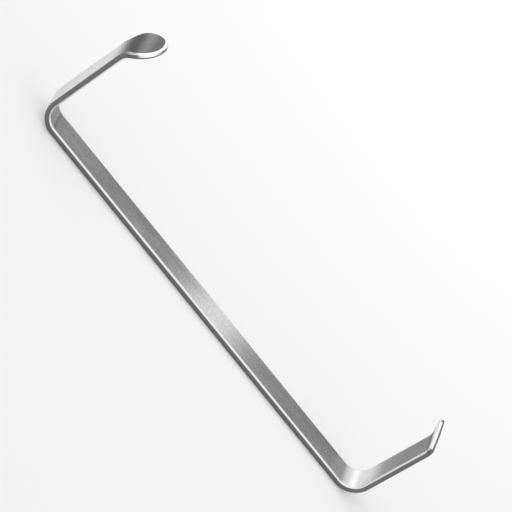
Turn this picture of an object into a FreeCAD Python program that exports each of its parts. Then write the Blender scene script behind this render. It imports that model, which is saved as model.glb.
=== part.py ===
"""Double-ended handheld surgical retractor, bent from one strip of steel.

The strip runs along X as a straight handle. Each end turns up into a blade, and each blade ends in a short
lip that leans in over the handle. Both lips spread into a flat oval spoon with a rounded rim.
Millimetres. The handle's back lies in the plane Z = 0 and the strip is centred on Y = 0.
"""
import FreeCAD, Part
import math
import os

os.makedirs("parts", exist_ok=True)

Vector = FreeCAD.Vector

# The strip
strip_width = 11.1
strip_thickness = 2.0
edge_round = 0.5
blade_spacing = 148.0
handle_bend_radius = 6.4

# The end with the long blade, at -X
long_blade_splay = 1.2
long_blade_length = 34.5
long_lip_angle = 40.0
long_lip_bend_radius = 11.0
long_lip_length = 10.4
long_lip_width = 16.4
long_lip_tip_length = 6.5
long_flare_length = 7.0

# The end with the short blade, at +X
short_blade_splay = 2.2
short_blade_length = 29.0
short_lip_angle = 32.5
short_lip_bend_radius = 5.9
short_lip_length = 7.6
short_lip_width = 15.0
short_lip_tip_length = 4.9
short_flare_length = 3.4

# Both lips thin out towards the tip, from the strip's thickness to this
lip_tip_thickness = 1.35

# How far the square strip runs past the finished tip before the tip is shaped
overrun = 4.0

# Two faces that meet within these angles, in degrees, make a corner that gets rounded
corner_angles = (45, 135)


def heading(angle):
    """Unit vector in the XZ plane, at an angle in degrees from +X towards +Z."""
    a = math.radians(angle)
    return Vector(math.cos(a), 0, math.sin(a))


def left_of(direction):
    """The direction turned a quarter turn to the left in the XZ plane."""
    return Vector(-direction.z, 0, direction.x)


def crossing(p, u, q, w):
    """Where the line through p along u meets the line through q along w, in the XZ plane."""
    k = ((q.x - p.x) * w.z - (q.z - p.z) * w.x) / (u.x * w.z - u.z * w.x)
    return p + u * k


def bent_path(corners, radii):
    """Edges of a line through the corners, with a tangent arc at each inner corner, and its last point."""
    edges = []
    here = corners[0]
    for before, corner, after, radius in zip(corners, corners[1:], corners[2:], radii):
        back = (before - corner).normalize()
        ahead = (after - corner).normalize()
        half = back.getAngle(ahead) / 2
        reach = radius / math.tan(half)
        start = corner + back * reach
        end = corner + ahead * reach
        centre = corner + (back + ahead).normalize() * (radius / math.sin(half))
        middle = centre + (corner - centre).normalize() * radius
        edges.append(Part.LineSegment(here, start).toShape())
        edges.append(Part.Arc(start, middle, end).toShape())
        here = end
    edges.append(Part.LineSegment(here, corners[-1]).toShape())
    return edges


class End:
    """One end of the retractor, laid out along +X. It is mirrored for the end at -X.

    The foot and the knee are the corners of the strip's middle line in side view, before they are rounded.
    Lengths along the lip are measured from the knee, and the reach is how far a cut that follows the lip
    goes to each side of it, enough to take in the strip where the flare starts.
    """

    def __init__(self, splay, blade, lip_angle, lip_bend, lip, lip_width, tip, flare):
        self.blade_way = heading(90 - splay)
        self.lip_way = heading(90 - splay + lip_angle)
        self.foot = Vector(blade_spacing / 2, 0, strip_thickness / 2)
        self.knee = self.foot + self.blade_way * blade
        self.lip_bend = lip_bend
        self.lip = lip
        self.lip_width = lip_width
        self.shoulder = lip - tip
        self.tip = tip
        self.flare_start = self.shoulder - flare
        self.reach = abs(self.flare_start) * math.tan(math.radians(lip_angle)) + 2 * strip_thickness

    def side_line(self, side):
        """Edges of one face in side view, from mid-handle to past the tip. side is +1 inside, -1 outside."""
        half = side * strip_thickness / 2
        taper = math.atan((strip_thickness - lip_tip_thickness) / 2 / self.lip)
        handle_point = Vector(0, 0, strip_thickness / 2 + half)
        blade_point = self.foot + left_of(self.blade_way) * half
        lip_point = self.knee + left_of(self.lip_way) * half
        lean = FreeCAD.Rotation(Vector(0, 1, 0), math.degrees(side * taper))
        lip_face = lean.multVec(self.lip_way)
        first = crossing(handle_point, heading(0), blade_point, self.blade_way)
        second = crossing(blade_point, self.blade_way, lip_point, lip_face)
        last = lip_point + lip_face * (self.lip + overrun)
        radii = [handle_bend_radius - half, self.lip_bend - half]
        return bent_path([handle_point, first, second, last], radii)

    def bent_strip(self, width):
        """Half the handle, the blade and the lip as a bent strip with a square end."""
        inside = self.side_line(1)
        outside = self.side_line(-1)
        mid_handle = Part.LineSegment(outside[0].Vertexes[0].Point, inside[0].Vertexes[0].Point).toShape()
        end_cap = Part.LineSegment(inside[-1].Vertexes[1].Point, outside[-1].Vertexes[1].Point).toShape()
        outline = Part.Wire(Part.__sortEdges__(inside + outside + [mid_handle, end_cap]))
        face = Part.Face(outline)
        face.translate(Vector(0, -width / 2, 0))
        return face.extrude(Vector(0, width, 0))

    def on_lip(self, along, across):
        """A point in the lip's middle plane, measured from the knee towards the tip and across the strip."""
        return self.knee + self.lip_way * along + Vector(0, across, 0)

    def through_lip(self, edges):
        """A prism with the given outline in the lip's middle plane."""
        outline = Part.Face(Part.Wire(Part.__sortEdges__(edges)))
        depth = left_of(self.lip_way) * (2 * self.reach)
        outline.translate(depth * -0.5)
        return outline.extrude(depth)

    def line_on_lip(self, start, end):
        return Part.LineSegment(self.on_lip(*start), self.on_lip(*end)).toShape()

    def lip_zone(self):
        """Everything from the start of the flare to past the tip."""
        near = self.flare_start
        far = self.lip + 2 * overrun
        side = max(self.lip_width, strip_width)
        corners = [(near, -side), (far, -side), (far, side), (near, side), (near, -side)]
        return self.through_lip([self.line_on_lip(p, q) for p, q in zip(corners, corners[1:])])

    def flare(self, side):
        """The smooth widening from the strip's straight side to the spoon's widest point."""
        middle = (self.flare_start + self.shoulder) / 2
        narrow = side * strip_width / 2
        wide = side * self.lip_width / 2
        poles = [(self.flare_start, narrow), (middle, narrow), (middle, wide), (self.shoulder, wide)]
        curve = Part.BezierCurve()
        curve.setPoles([self.on_lip(along, across) for along, across in poles])
        return curve.toShape()

    def rounded_tip(self):
        """Half an ellipse from one side of the spoon round the tip to the other."""
        centre = self.on_lip(self.shoulder, 0)
        side_point = self.on_lip(self.shoulder, self.lip_width / 2)
        tip_point = self.on_lip(self.lip, 0)
        if self.lip_width / 2 > self.tip:
            oval = Part.Ellipse(side_point, tip_point, centre)
        else:
            oval = Part.Ellipse(tip_point, side_point, centre)
        start = oval.parameter(side_point)
        quarter = math.pi / 2
        if (oval.value(start + quarter) - tip_point).Length > (oval.value(start - quarter) - tip_point).Length:
            return Part.ArcOfEllipse(oval, start - 2 * quarter, start).toShape()
        return Part.ArcOfEllipse(oval, start, start + 2 * quarter).toShape()

    def spoon_outline(self):
        """The lip seen square on: straight across the strip, out along the flares and round the tip."""
        narrow = strip_width / 2
        across = self.line_on_lip((self.flare_start, -narrow), (self.flare_start, narrow))
        return [across, self.flare(-1), self.flare(1), self.rounded_tip()]

    def solid(self):
        """Half the retractor with square edges."""
        shank = self.bent_strip(strip_width).cut(self.lip_zone())
        wide_strip = self.bent_strip(2 * max(self.lip_width, strip_width))
        spoon = wide_strip.common(self.through_lip(self.spoon_outline()))
        return shank.fuse(spoon).removeSplitter()


def long_end():
    end = End(long_blade_splay, long_blade_length, long_lip_angle, long_lip_bend_radius, long_lip_length,
              long_lip_width, long_lip_tip_length, long_flare_length)
    return end.solid().mirror(Vector(0, 0, 0), Vector(1, 0, 0))


def short_end():
    end = End(short_blade_splay, short_blade_length, short_lip_angle, short_lip_bend_radius, short_lip_length,
              short_lip_width, short_lip_tip_length, short_flare_length)
    return end.solid()


def sharp_edges(shape):
    """The edges where two faces meet at a corner, without the smooth joins between tangent faces."""
    found = []
    for edge in shape.Edges:
        faces = shape.ancestorsOfType(edge, Part.Face)
        if len(faces) != 2:
            continue
        middle = edge.valueAt((edge.FirstParameter + edge.LastParameter) / 2)
        normals = [face.normalAt(*face.Surface.parameter(middle)) for face in faces]
        least, most = corner_angles
        if least < math.degrees(normals[0].getAngle(normals[1])) < most:
            found.append(edge)
    return found


def retractor():
    """Both ends joined in the middle of the handle, with every long edge and rim rounded."""
    square = long_end().fuse(short_end()).removeSplitter().Solids[0]
    body = square.makeFillet(edge_round, sharp_edges(square)).Solids[0]
    box = body.optimalBoundingBox()
    body.translate(Vector(-box.Center.x, 0, -box.ZMin))
    return body


retractor().exportStep("parts/retractor.step")
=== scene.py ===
# %% [markdown]
# # A double-ended surgical retractor, dressed for its portrait
#
# The object is one long strip of stainless steel. It is bent up at both ends into two blades, and each
# blade ends in a short oval lip that leans in over the handle. The CAD part is loaded first as a fixed
# frame. It gives the place and the size, and everything below is worked out in that frame, in metres.

# %% Load the frame
import bpy
import math
import numpy as np
from mathutils import Matrix, Vector


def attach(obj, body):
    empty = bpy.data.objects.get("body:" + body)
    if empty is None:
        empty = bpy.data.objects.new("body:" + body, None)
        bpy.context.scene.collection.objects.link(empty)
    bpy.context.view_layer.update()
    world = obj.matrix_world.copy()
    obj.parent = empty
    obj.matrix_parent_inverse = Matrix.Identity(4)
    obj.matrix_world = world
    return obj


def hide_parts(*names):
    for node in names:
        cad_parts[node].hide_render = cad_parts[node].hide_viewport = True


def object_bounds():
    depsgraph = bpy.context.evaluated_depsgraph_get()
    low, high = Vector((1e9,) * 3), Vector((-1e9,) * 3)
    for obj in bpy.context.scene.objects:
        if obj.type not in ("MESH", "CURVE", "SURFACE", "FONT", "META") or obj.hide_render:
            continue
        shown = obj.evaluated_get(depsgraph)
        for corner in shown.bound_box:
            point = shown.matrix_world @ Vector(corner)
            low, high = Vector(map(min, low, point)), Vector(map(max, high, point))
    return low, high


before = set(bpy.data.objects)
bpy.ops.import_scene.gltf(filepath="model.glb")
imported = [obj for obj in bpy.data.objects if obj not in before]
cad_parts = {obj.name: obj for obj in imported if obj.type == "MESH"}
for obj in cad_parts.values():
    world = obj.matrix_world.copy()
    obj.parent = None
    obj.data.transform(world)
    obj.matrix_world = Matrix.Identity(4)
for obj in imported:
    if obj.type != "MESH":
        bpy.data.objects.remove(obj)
cad_low, cad_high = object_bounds()
mm = 0.001
print("CAD box, mm:", [round(v / mm, 2) for v in cad_high - cad_low])

# %% [markdown]
# ## The strip's sizes
#
# The real piece starts as a flat bar. Its maker rounds the edges, forges the two ends out into thin oval
# spoons, and bends it cold round a former. So the sizes are those of a bar: a width and a thickness for
# the plain stretch, and a lip width, a tip thickness and a flare for each end. Each end also has a splay,
# the angle by which its blade leans outwards, and a lip angle, by which the lip leans back in. Some sizes
# of the ends are tenths of a millimetre off the CAD part's, and the short lip leans about a degree more,
# because that is where the render came closest to the photo.

# %% Sizes of the strip and of its two ends
strip_width = 11.1 * mm
strip_thickness = 2.0 * mm
strip_rounding = 0.58 * mm
blade_spacing = 148.0 * mm
handle_bend_radius = 6.4 * mm
tip_thickness = 1.5 * mm
lip_rounding = 0.3 * mm
bevel_width = 0.5 * mm
bevel_drop = 0.13 * mm

long_end = dict(splay=1.2, blade=34.5 * mm, lip_angle=40.0, lip_bend=11.0 * mm, lip=10.33 * mm,
                lip_width=16.4 * mm, tip=6.5 * mm, flare=6.6 * mm)
short_end = dict(splay=2.2, blade=29.35 * mm, lip_angle=33.8, lip_bend=5.9 * mm, lip=7.45 * mm,
                 lip_width=15.0 * mm, tip=4.9 * mm, flare=3.4 * mm)

# %% [markdown]
# ## The bent centre line
#
# Seen from the side, the middle of the strip is a line of straight runs joined by arcs. A Bezier curve
# could follow it, but arcs are what a bending former leaves, so the line is kept as segments of constant
# curvature. A point at a distance along the line then has an exact place and heading, and whole arrays
# of distances can be looked up at once.

# %% Build the centre line from its segments
def setback(radius, degrees):
    """How much of each straight run a bend takes: radius times the tangent of half the angle."""
    return radius * math.tan(math.radians(degrees) / 2)


def end_runs(end):
    """Lengths of lip, lip bend, blade and handle bend of one end, and how much of the handle it takes."""
    foot_angle = 90 - end["splay"]
    lip_back = setback(end["lip_bend"], end["lip_angle"])
    foot_back = setback(handle_bend_radius, foot_angle)
    lip = end["lip"] - lip_back
    blade = end["blade"] - lip_back - foot_back
    lip_arc = end["lip_bend"] * math.radians(end["lip_angle"])
    foot_arc = handle_bend_radius * math.radians(foot_angle)
    return lip, lip_arc, blade, foot_arc, foot_back


lip_a, lip_arc_a, blade_a, foot_arc_a, back_a = end_runs(long_end)
lip_b, lip_arc_b, blade_b, foot_arc_b, back_b = end_runs(short_end)
handle = blade_spacing - back_a - back_b
runs = np.array([lip_a, lip_arc_a, blade_a, foot_arc_a, handle, foot_arc_b, blade_b, lip_arc_b, lip_b])
bend = np.array([0, 1 / long_end["lip_bend"], 0, 1 / handle_bend_radius, 0,
                 1 / handle_bend_radius, 0, 1 / short_end["lip_bend"], 0])
starts = np.concatenate([[0], np.cumsum(runs)])
first_heading = math.radians(270 + long_end["splay"] - long_end["lip_angle"])
headings = first_heading + np.concatenate([[0], np.cumsum(runs * bend)])
length = starts[-1]


def step(distance, heading, curvature):
    """Travel in X and Z along one segment: a straight run, or an arc of the given curvature."""
    turned = heading + curvature * distance
    safe = np.where(curvature == 0, 1, curvature)
    arc_x = (np.sin(turned) - np.sin(heading)) / safe
    arc_z = -(np.cos(turned) - np.cos(heading)) / safe
    x = np.where(curvature == 0, distance * np.cos(heading), arc_x)
    z = np.where(curvature == 0, distance * np.sin(heading), arc_z)
    return x, z


run_x, run_z = step(runs, headings[:-1], bend)
corner_x = np.concatenate([[0], np.cumsum(run_x)])
corner_z = np.concatenate([[0], np.cumsum(run_z)])


def centre_line(s):
    """Place (x, z) and heading of the centre line at distances s from the long end's tip."""
    k = np.clip(np.searchsorted(starts, s, side="right") - 1, 0, len(runs) - 1)
    dx, dz = step(s - starts[k], headings[k], bend[k])
    return corner_x[k] + dx, corner_z[k] + dz, headings[k] + bend[k] * (s - starts[k])


print("length of the flat bar, mm:", round(length / mm, 1))

# %% [markdown]
# ## The bar's outline before bending
#
# Laid flat, the bar is a long narrow shape with an oval at each end. Half of its outline is enough,
# because the other half is its mirror image: round the tip along a quarter of an ellipse, in through the
# flare along an S, straight along the side, and the same at the other end. Points lie closer together
# where the outline or the bar bends.

# %% The half outline as arrays of distance and half width
tip_steps = 44
flare_steps = 28
bend_steps = 40
run_steps = 24


def flare_curve(count):
    """An S from 0 to 1: the cubic with control points 0, 0, 1, 1 over the lengths 0, 1/2, 1/2, 1."""
    t = np.linspace(0, 1, count)
    along = 1.5 * (1 - t) ** 2 * t + 1.5 * (1 - t) * t ** 2 + t ** 3
    across = 3 * (1 - t) * t ** 2 + t ** 3
    return along, across


def half_outline_end(end):
    """Distance from the tip and half width, from the tip to the end of the flare."""
    t = np.linspace(0, math.pi / 2, tip_steps)
    tip_s = end["tip"] * (1 - np.cos(t))
    tip_y = end["lip_width"] / 2 * np.sin(t)
    along, across = flare_curve(flare_steps)
    flare_s = end["tip"] + end["flare"] * along
    flare_y = end["lip_width"] / 2 + (strip_width - end["lip_width"]) / 2 * across
    return np.concatenate([tip_s, flare_s[1:]]), np.concatenate([tip_y, flare_y[1:]])


def plain_stations(first, last):
    """Distances between the two flares, with a close row of them through each bend."""
    marks = [first]
    for k, curvature in enumerate(bend):
        a, b = max(starts[k], first), min(starts[k + 1], last)
        if b > a:
            marks.extend(np.linspace(a, b, bend_steps if curvature else run_steps)[1:])
    return np.array(marks)


s_a, y_a = half_outline_end(long_end)
s_b, y_b = half_outline_end(short_end)
s_b, y_b = (length - s_b)[::-1], y_b[::-1]
s_mid = plain_stations(s_a[-1], s_b[0])[1:-1]
rim_s = np.concatenate([s_a, s_mid, s_b])
rim_y = np.concatenate([y_a, np.full(len(s_mid), strip_width / 2), y_b])
print("stations along the bar:", len(rim_s))

# %% [markdown]
# ## Skin of the strip
#
# From each point of the outline the skin runs over the inner face to the middle of the bar, and round the
# edge and under the outer face to the middle again. Two such halves make a closed ring, and the rings
# close to a slit at each tip, where the doubled points are merged. In the oval ends the rings fan out, so
# that the rounded rim stays square to the outline all the way round the tip. There the maker has also
# ground a narrow bevel on both faces, so that nothing sharp touches the tissue. A modifier could bevel a
# flat plate instead, but this way the rim keeps an exact radius while the plate under it gets thinner.

# %% Work out the rings
def smooth(a, b, x):
    """0 below a, 1 above b, and the cubic 3t^2 - 2t^3 between them."""
    t = np.clip((x - a) / (b - a), 0, 1)
    return t * t * (3 - 2 * t)


def thickness(s):
    """The strip's thickness, which falls in a straight line from each knee to the tip."""
    near_a = np.clip(1 - s / long_end["lip"], 0, 1)
    near_b = np.clip(1 - (length - s) / short_end["lip"], 0, 1)
    return strip_thickness - (strip_thickness - tip_thickness) * np.maximum(near_a, near_b)


def lip_share(s):
    """1 on either lip and 0 on the plain strip, with a soft change across the flare."""
    near_a = 1 - smooth(long_end["tip"], long_end["tip"] + long_end["flare"], s)
    near_b = 1 - smooth(short_end["tip"], short_end["tip"] + short_end["flare"], length - s)
    return np.maximum(near_a, near_b)


slope_s, slope_y = np.gradient(rim_s), np.gradient(rim_y)
slope_s[[0, -1]], slope_y[0], slope_y[-1] = 0, 1, -1
steep = np.hypot(slope_s, slope_y)
out_s, out_y = -slope_y / steep, slope_s / steep
ovals = lip_share(rim_s)[:, None]
rounding = strip_rounding + (lip_rounding - strip_rounding) * ovals

# The middle point of each ring is level with the rim on the strip, and held back inside the ovals.
hold = 0.45
shoulder_a, shoulder_b = long_end["tip"], length - short_end["tip"]
core_s = np.clip(rim_s, shoulder_a, shoulder_b) * hold + rim_s * (1 - hold)
core_s = np.where((rim_s > shoulder_a) & (rim_s < shoulder_b), rim_s, core_s)

# One side of a ring, from the middle of the inner face to the middle of the outer face: out over the plate,
# down the bevel, round the edge and along the narrow side. The four arrays hold a column's place on each.
over = np.linspace(1, 0, 9)
slope = np.array([0.85, 0.6, 0.25, 0.05])
turn = np.linspace(math.pi / 2, 0, 10, endpoint=False)
down = np.linspace(1, 0, 3, endpoint=False)


def there_and_back(plate, bevel, edge, side, middle, sign=1):
    """One side of a ring from its four parts and its middle point, on both sides of which they mirror."""
    values, places = (plate, bevel, edge, side), (over, slope, turn, down)
    half = np.concatenate([np.broadcast_to(value, place.shape) for value, place in zip(values, places)])
    return np.concatenate([half, [middle], sign * half[::-1]])


plate = there_and_back(over, 0, 0, 0, 0)
bevel = there_and_back(1, slope, 0, 0, 0)
bulge = there_and_back(0, 0, np.cos(turn), 1, 1)
level = there_and_back(1, 1, 1, down, 0, sign=-1)
lift = there_and_back(1, 1, np.sin(turn), 0, 0, sign=-1)


def side_of_rings(side):
    """Grids of distance, across and height, one row a ring.

    A column is a step from the middle of the inner face round to the middle of the outer face. A point
    lies on the straight line from the ring's middle point to the rim point moved in by the rounding: bevel
    times the bevel's width short of that end, and plate times the rest of the line shorter still. To this
    comes bulge times the rounding along the outline's outward normal. Its height is level times the half
    thickness left beside the rounding, plus lift times the rounding. On both faces of an oval a bevel takes
    off some height, in a straight line from nothing at bevel_width to bevel_drop at the rim.
    """
    rim_in_s = rim_s[:, None] - rounding * out_s[:, None]
    rim_in_y = rim_y[:, None] - rounding * out_y[:, None]
    line = np.hypot(rim_in_s - core_s[:, None], rim_in_y)
    from_rim = plate * (line - bevel_width) + bevel * bevel_width
    reach = 1 - from_rim / line
    flat_s = core_s[:, None] * (1 - reach) + rim_in_s * reach
    flat_y = rim_in_y * reach
    drop = bevel_drop * ovals * np.clip(1 - from_rim / bevel_width, 0, 1)
    s = flat_s + rounding * bulge * out_s[:, None]
    y = flat_y + rounding * bulge * out_y[:, None]
    h = level * (thickness(flat_s) / 2 - rounding - drop) + lift * rounding
    return s, side * y, h


near, far = side_of_rings(-1), side_of_rings(1)
ring_s, ring_y, ring_h = (np.hstack([a, b[:, -2:0:-1]]) for a, b in zip(near, far))
columns = ring_s.shape[1]
print("rings:", len(rim_s), "points in a ring:", columns)

# %% [markdown]
# ## Bending the skin
#
# Every point of the flat bar is carried to its place beside the centre line: the distance picks the spot
# on the line, and the height moves it along the line's left-hand normal. The result is set on the CAD
# part by its box, so that the handle's back lies on the floor and both ends are equally far out. Where it
# would be some hundredths of a millimetre longer than the CAD part, it is drawn in to the same length.

# %% Carry the rings along the centre line and make the mesh
line_x, line_z, turned = centre_line(ring_s)
x = line_x - ring_h * np.sin(turned)
z = line_z + ring_h * np.cos(turned)
x -= (x.min() + x.max()) / 2
x *= min(1, (cad_high.x - cad_low.x) / (x.max() - x.min()))
x += (cad_low.x + cad_high.x) / 2
z += cad_low.z - z.min()

index = np.arange(x.size).reshape(x.shape)
mirror = (-np.arange(columns)) % columns
lower_half = np.arange(columns) > columns // 2
for tip_row in (0, -1):
    index[tip_row, lower_half] = index[tip_row, mirror[lower_half]]
along_next = np.roll(index, -1, axis=1)
# The corners run round the ring first and then along the bar, so that the faces point outwards.
quads = np.stack([index[:-1], along_next[:-1], along_next[1:], index[1:]], axis=-1).reshape(-1, 4)
used, flat_index = np.unique(quads, return_inverse=True)
quads = flat_index.reshape(-1, 4)
points = np.stack([x, ring_y, z], axis=-1).reshape(-1, 3)[used]

mesh = bpy.data.meshes.new("retractor_steel")
mesh.from_pydata(points.tolist(), [], quads.tolist())
mesh.shade_smooth()


def signed_volume(p, q):
    """Sum over the triangles of one sixth of the triple product of their corners."""
    tris = np.vstack([q[:, [0, 1, 2]], q[:, [0, 2, 3]]])
    a, b, c = p[tris[:, 0]], p[tris[:, 1]], p[tris[:, 2]]
    return np.einsum("ij,ij->", a, np.cross(b, c)) / 6


volume = signed_volume(points, quads)
assert volume > 0, "the faces point inwards"
print("points:", len(points), "faces:", len(quads), "volume, mm3:", round(volume / mm ** 3, 1))

# %% [markdown]
# ## Marks for the finish, and painted light and shade
#
# The grinding and polishing of the bar follow the bar, so the finish has to know where it is on it. The
# mesh carries a UV map with the distance along the bar and the way round it, both in centimetres, and
# seven attributes, each from 0 to 1. Most of them paint light or shade into the tone of the metal. Two
# mark the inside of the handle's bends: one makes the surface rougher where the former pressed, the other
# paints a highlight at the top of each bend. One paints the outer half of the skin and the inner faces of
# the ovals lighter than the inner faces. One marks the bend below each oval, which is rougher and carries
# painted shade. One marks the matt outer faces of the ovals, and more weakly the inner faces of the blades,
# and paints shade on both. One marks the coarse grind of the narrow sides and the back of the outer edges,
# and paints shade on them. The last marks the smoother polish of the inner edges of the strip and of the
# bevel and rim of the ovals, and paints highlights on them. Painted images could hold the same, but a mark
# per point needs no file.

# %% Store the UV map and the attributes
cm = 10 * mm
girth_y = np.diff(ring_y, axis=1, append=ring_y[:, :1])
girth_h = np.diff(ring_h, axis=1, append=ring_h[:, :1])
around = np.concatenate([np.zeros((len(rim_s), 1)), np.cumsum(np.hypot(girth_y, girth_h), axis=1)], axis=1)
u_here = np.concatenate([ring_s, ring_s[:, :1]], axis=1) / cm
v_here = around / cm


def corners(grid):
    """The four corner values of each quad, from a grid with its first column repeated at the end."""
    return np.stack([grid[:-1, :-1], grid[:-1, 1:], grid[1:, 1:], grid[1:, :-1]], axis=-1).reshape(-1)


bar_map = mesh.uv_layers.new(name="bar")
bar_map.data.foreach_set("uv", np.stack([corners(u_here), corners(v_here)], axis=-1).reshape(-1))


def whole_ring(one_side):
    """Values of one side of a ring, from inside to outside, and back up its other side."""
    return np.concatenate([one_side, one_side[-2:0:-1]])


# How far the skin has turned from a broad face, 0, to the narrow side, 1, at each column.
away = whole_ring(there_and_back(0, 0, 1 - 2 * turn / math.pi, 1, 1))
inside = whole_ring(level) > 0
# The inner edges: a smoother polish, and a painted highlight line in the tone.
edge = smooth(0.0, 0.25, away) * (1 - smooth(0.7, 0.95, away)) * inside
# The narrow sides and the back of the outer edges: a coarser grind, and painted shade in the tone.
side_and_back = np.where(inside, smooth(0.7, 0.95, away), smooth(0.2, 0.6, away))

# On the ovals the bevel, the edge that the camera sees and the rim round the tip get the smooth polish and a
# painted highlight, and the edge behind the rim and its side along the flare get a coarser grind and painted
# shade.
short = (rim_s > length / 2)[:, None]
tipward = smooth(-0.15, 0.2, np.where(short, 1, -1) * out_s[:, None])
rim_zone = whole_ring(np.clip((1 - bevel) / (1 - slope[0]), 0, 1))
hidden_edge = smooth(0.0, 0.25, away) * smooth(0.2, 0.7, np.where(short, -1, 1) * whole_ring(level))
oval_painted_shade = np.maximum(hidden_edge, smooth(0.7, 1.0, away) * (1 - tipward))


def end_share(start_a, stop_a, start_b, stop_b):
    """1 at both tips, falling to 0 between the start and the stop of each end's change."""
    return np.maximum(1 - smooth(start_a, stop_a, ring_s), 1 - smooth(start_b, stop_b, length - ring_s))


on_rim = end_share(long_end["tip"], long_end["tip"] + 0.8 * long_end["flare"],
                   short_end["tip"], short_end["tip"] + 0.8 * short_end["flare"])
matt = end_share(lip_a + 0.45 * lip_arc_a, lip_a + 1.25 * lip_arc_a,
                 lip_b + 0.3 * lip_arc_b, lip_b + 1.2 * lip_arc_b)
flat_lip = end_share(0.4 * lip_a, lip_a + 0.3 * lip_arc_a, 0.7 * lip_b, 1.1 * lip_b)
knee_a, knee_b = lip_a + lip_arc_a, lip_b + lip_arc_b
# Inner faces of the blades, for the painted shade on them.
blade_inside = inside * end_share(knee_a + 0.3 * blade_a, knee_a + blade_a,
                                  knee_b + 0.3 * blade_b, knee_b + blade_b)
press_length = 6.5 * mm


def pressed(foot, way, first, last):
    """1 at the top of a handle bend, falling to 0 round the bend, between shares of it, and up the blade."""
    up_the_blade = (ring_s - foot) * way
    round_the_bend = smooth(-first * foot_arc_b, -last * foot_arc_b, up_the_blade)
    return round_the_bend * (1 - smooth(0, press_length, up_the_blade))


flat_inside = inside * (1 - smooth(0.0, 0.3, away))
marks = {
    "bend": (pressed(starts[3], -1, 1.0, 0.6) + pressed(starts[6], 1, 1.4, 0.9)) * flat_inside,
    # Top of each handle bend: a painted highlight, weaker at the long end.
    "painted_bend_highlight": (0.35 * pressed(starts[3], -1, 1.1, 0.2) + pressed(starts[6], 1, 1.1, 0.2)) * flat_inside,
    # Outer half of the skin and the ovals' inner faces: painted lighter than the inner faces, painted light.
    "painted_light_faces": np.where(inside, flat_lip, whole_ring((1 - level) / 2)),
    # Bend below each oval: painted shade, and a rougher surface.
    "neck_shade_and_matt": matt * (1 - flat_lip),
    # Matt outer faces of the ovals, and more weakly the blades' inner faces: painted shade and a rougher
    # surface.
    "lip": np.maximum(matt * flat_lip * (1 - inside), 0.8 * blade_inside * (1 - matt)),
    # Narrow sides, and the edge behind each oval's rim: a coarser grind and painted shade.
    "grind_and_shade": side_and_back * (1 - on_rim) + oval_painted_shade * on_rim,
    # Inner edges, and the ovals' bevels and rims: a smoother polish and painted highlights.
    "polish_and_highlight": 0.8 * edge * (1 - on_rim) + rim_zone * (1 - oval_painted_shade) * on_rim,
}
for name, grid in marks.items():
    mark = mesh.attributes.new(name, "FLOAT", "POINT")
    whole = np.broadcast_to(grid, x.shape)
    mark.data.foreach_set("value", whole.reshape(-1)[used].astype(np.float32))

retractor = bpy.data.objects.new("retractor_steel", mesh)
bpy.context.scene.collection.objects.link(retractor)
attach(retractor, "root")
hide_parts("retractor")

# %% [markdown]
# ## Satin steel
#
# Stainless instruments are ground with a fine belt along the strip and then blasted or brushed to a satin
# that doesn't dazzle. Three things show: a fine grain of streaks along the bar, broad faint clouds where
# the belt bit differently, and rounded inner edges polished smoother than the faces. The narrow sides are
# rougher from the grind of the sheared bar, the ovals are blasted matt inside a polished rim, and the
# bends are rougher where the former pressed. Much of the tone is painted light: painted highlights on
# the inner edges, the rims of the ovals and the tops of the handle's bends, outer faces painted lighter
# than inner ones, and painted shade on the narrow sides, the necks, the ovals' outer faces and the
# blades' inner faces. Noise stretched along the UV map makes the streaks and the grain. A smooth metal
# turns into a perfect mirror when it is seen along its surface. Ground steel doesn't quite, so the
# specular tint holds that back.

# %% Make the satin steel
specular_tint = 0.75


def steel_nodes():
    """A material with a metal shader, and the node tree and shader to build on."""
    made = bpy.data.materials.new("satin_steel")
    made.use_nodes = True
    tree = made.node_tree
    shader = tree.nodes["Principled BSDF"]
    shader.inputs["Metallic"].default_value = 1.0
    shader.inputs["Specular Tint"].default_value = (specular_tint, specular_tint, specular_tint, 1)
    return made, tree, shader


steel, tree, shader = steel_nodes()


def node(kind, **settings):
    """A new node in the steel's tree, with the given settings."""
    made = tree.nodes.new(kind)
    for key, value in settings.items():
        setattr(made, key, value)
    return made


def mix_value(factor, low, high):
    """low where factor is 0 and high where it is 1. Each may be a number or a socket."""
    made = node("ShaderNodeMix", data_type="FLOAT")
    for socket, value in zip((made.inputs[0], made.inputs[2], made.inputs[3]), (factor, low, high)):
        if isinstance(value, (int, float)):
            socket.default_value = value
        else:
            tree.links.new(value, socket)
    return made.outputs[0]


def times(a, b):
    """The product of two sockets."""
    made = node("ShaderNodeMath", operation="MULTIPLY")
    tree.links.new(a, made.inputs[0])
    tree.links.new(b, made.inputs[1])
    return made.outputs[0]


def mark_of(name):
    """The socket of one of the mesh's marks."""
    return node("ShaderNodeAttribute", attribute_type="GEOMETRY", attribute_name=name).outputs["Fac"]


def noise(across, along, detail, roughness):
    """Noise on the bar's own map, with its scale in features per centimetre along and across."""
    where = node("ShaderNodeUVMap", uv_map="bar")
    stretch = node("ShaderNodeMapping")
    stretch.inputs["Scale"].default_value = (along, across, 1)
    made = node("ShaderNodeTexNoise", noise_dimensions="2D")
    made.inputs["Scale"].default_value = 1.0
    made.inputs["Detail"].default_value = detail
    made.inputs["Roughness"].default_value = roughness
    tree.links.new(where.outputs["UV"], stretch.inputs["Vector"])
    tree.links.new(stretch.outputs["Vector"], made.inputs["Vector"])
    return made.outputs["Fac"]


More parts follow.
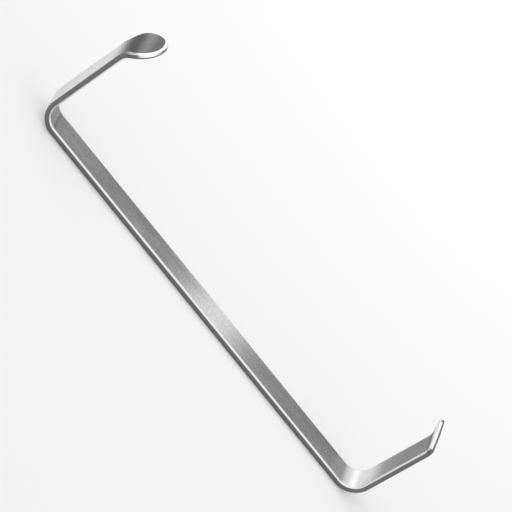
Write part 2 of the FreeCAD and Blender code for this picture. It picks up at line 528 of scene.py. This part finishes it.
# The first tone is the plain metal of the inner faces. The other tones paint highlights and shade onto it.
inner_tone, painted_light_tone, painted_bend_highlight_tone, painted_neck_shade_tone = 0.42, 0.97, 0.88, 0.13
painted_lip_shade_tone, painted_side_shade_tone, polish_highlight_tone = 0.22, 0.17, 0.97
fine_rough, coarse_rough, bend_rough, neck_rough = 0.20, 0.25, 0.42, 0.42
lip_rough, dull_rough, polish_rough = 0.38, 0.36, 0.15
streak_depth, grain_depth, cloud_depth = 0.26, 0.40, 0.16
streaks = noise(across=60, along=2.5, detail=3, roughness=0.6)
clouds = noise(across=1.6, along=0.6, detail=2, roughness=0.5)
grain = noise(across=20, along=12, detail=2, roughness=0.6)
bend_mark, painted_bend_highlight, painted_light_faces, neck_shade_and_matt, lip_matt_and_shade, grind_and_shade, polish_and_highlight = (mark_of(name) for name in marks)

# Painted light: the outer faces and the ovals' inner faces are lighter than the inner faces.
tone = mix_value(painted_light_faces, inner_tone, painted_light_tone)
# Painted shade on the bend below each oval.
tone = mix_value(neck_shade_and_matt, tone, painted_neck_shade_tone)
# Painted shade on the ovals' outer faces and on the blades' inner faces.
tone = mix_value(lip_matt_and_shade, tone, painted_lip_shade_tone)
for pattern, depth in ((streaks, streak_depth), (grain, grain_depth), (clouds, cloud_depth)):
    tone = times(tone, mix_value(pattern, 1 - depth, 1 + depth))
# Painted highlight at the top of each handle bend.
tone = mix_value(painted_bend_highlight, tone, painted_bend_highlight_tone)
# Painted shade on the narrow sides and behind the ovals' rims.
tone = mix_value(grind_and_shade, tone, painted_side_shade_tone)
# Painted highlights on the inner edges and on the ovals' bevels and rims.
tone = mix_value(polish_and_highlight, tone, polish_highlight_tone)
colour = node("ShaderNodeCombineColor")
for channel in ("Red", "Green", "Blue"):
    tree.links.new(tone, colour.inputs[channel])
tree.links.new(colour.outputs[0], shader.inputs["Base Color"])

rough = mix_value(clouds, fine_rough, coarse_rough)
rough = mix_value(bend_mark, rough, bend_rough)
rough = mix_value(neck_shade_and_matt, rough, neck_rough)
rough = mix_value(lip_matt_and_shade, rough, lip_rough)
rough = mix_value(grind_and_shade, rough, dull_rough)
rough = mix_value(polish_and_highlight, rough, polish_rough)
tree.links.new(rough, shader.inputs["Roughness"])

bump_strength, bump_height = 0.02, 0.02 * mm
bump = node("ShaderNodeBump")
bump.inputs["Strength"].default_value = bump_strength
bump.inputs["Distance"].default_value = bump_height
tree.links.new(mix_value(0.5, streaks, grain), bump.inputs["Height"])
tree.links.new(bump.outputs["Normal"], shader.inputs["Normal"])
mesh.materials.append(steel)

# %% [markdown]
# ## Floor, lights and surroundings
#
# Steel shows what stands round it, so the set matters as much as the metal. The floor is pale and plain.
# The surroundings are bright in front and above, like a white tent. That half lights the floor evenly and
# draws the thin bright lines on the rounded edges. The half behind is dim, which keeps the handle and the
# ovals grey. Four soft lamps stand behind. A narrow one is mirrored in the middle of the handle, two in
# the bend of the short blade, and one in the rim of the long end's oval.

# %% Lay the floor
floor_reach, paper_tone = 4.0, 0.94
floor_mesh = bpy.data.meshes.new("floor")
floor_mesh.from_pydata([(-floor_reach, -floor_reach, 0), (floor_reach, -floor_reach, 0),
                        (floor_reach, floor_reach, 0), (-floor_reach, floor_reach, 0)], [], [(0, 1, 2, 3)])
floor = bpy.data.objects.new("floor", floor_mesh)
bpy.context.scene.collection.objects.link(floor)
paper = bpy.data.materials.new("pale_paper")
paper.use_nodes = True
paper_shader = paper.node_tree.nodes["Principled BSDF"]
paper_shader.inputs["Base Color"].default_value = (paper_tone, paper_tone, paper_tone, 1)
paper_shader.inputs["Roughness"].default_value = 1.0
paper_shader.inputs["Specular IOR Level"].default_value = 0.0
floor_mesh.materials.append(paper)

# %% Hang the lamps
def soft_lamp(name, place, aim, width, height, radiance):
    """A rectangular lamp whose face has the given radiance: its power is radiance times pi times its area."""
    light = bpy.data.lights.new(name, "AREA")
    light.shape = "RECTANGLE"
    light.size, light.size_y = width, height
    light.energy = radiance * math.pi * width * height
    lamp = bpy.data.objects.new(name, light)
    lamp.location = place
    lamp.rotation_mode = "QUATERNION"
    lamp.rotation_quaternion = (Vector(aim) - Vector(place)).to_track_quat("-Z", "Y")
    lamp.visible_camera = False
    bpy.context.scene.collection.objects.link(lamp)


soft_lamp("handle_lamp", (0.078, 0.263, 0.127), (0.002, 0, 0), width=0.020, height=0.14, radiance=1.75)
soft_lamp("bend_lamp", (-0.125, 0.53, 0.17), (0.07, 0, 0.01), width=0.24, height=0.34, radiance=1.1)
soft_lamp("brow_lamp", (0.10, 0.50, 0.38), (0.07, 0, 0.01), width=0.32, height=0.16, radiance=0.95)
soft_lamp("rim_lamp", (-0.36, 0.46, 0.28), (-0.065, 0, 0.038), width=0.34, height=0.16, radiance=1.0)

# %% Surround the object with a bright front and a dim back
world = bpy.data.worlds.new("studio_walls")
world.use_nodes = True
walls = world.node_tree
bright_side = Vector((-0.25, -0.5, 0.83)).normalized()
dim_wall, bright_wall = 0.26, 0.98
fade_range = {"From Min": -0.25, "From Max": 0.30, "To Min": dim_wall, "To Max": bright_wall}
towards = walls.nodes.new("ShaderNodeTexCoord")
facing = walls.nodes.new("ShaderNodeVectorMath")
facing.operation = "DOT_PRODUCT"
facing.inputs[1].default_value = bright_side
fade = walls.nodes.new("ShaderNodeMapRange")
fade.interpolation_type = "SMOOTHSTEP"
for socket, value in fade_range.items():
    fade.inputs[socket].default_value = value
walls.links.new(towards.outputs["Generated"], facing.inputs[0])
walls.links.new(facing.outputs["Value"], fade.inputs["Value"])
walls.links.new(fade.outputs["Result"], walls.nodes["Background"].inputs["Strength"])
walls.nodes["Background"].inputs["Color"].default_value = (1, 1, 1, 1)
bpy.context.scene.world = world

# %% [markdown]
# ## Camera
#
# The portrait is taken from far off with a long lens, from in front and a little above, with the camera
# rolled so that the handle runs from the upper left to the lower right. The camera is placed by its aim
# on the object, its distance and three angles.

# %% Place the camera
camera_aim = Vector((-2.17, 1.32, 23.51)) * mm
camera_distance = 1238.5 * mm
camera_azimuth = math.radians(15.025)
camera_elevation = math.radians(23.914)
camera_roll = math.radians(-57.298)
camera_lens = 299.0

ahead = Vector((math.sin(camera_azimuth) * math.cos(camera_elevation),
                math.cos(camera_azimuth) * math.cos(camera_elevation), -math.sin(camera_elevation)))
level_right = ahead.cross(Vector((0, 0, 1))).normalized()
level_up = level_right.cross(ahead)
up = level_up * math.cos(camera_roll) + level_right * math.sin(camera_roll)
right = ahead.cross(up)

camera = bpy.data.objects.new("camera", bpy.data.cameras.new("camera"))
camera.data.lens = camera_lens
camera.data.sensor_width = 36.0
camera.data.clip_end = 20.0
axes = Matrix((right, up, -ahead)).transposed()
camera.matrix_world = Matrix.Translation(camera_aim - ahead * camera_distance) @ axes.to_4x4()
bpy.context.scene.collection.objects.link(camera)
bpy.context.scene.camera = camera
bpy.context.scene.view_settings.view_transform = "Standard"
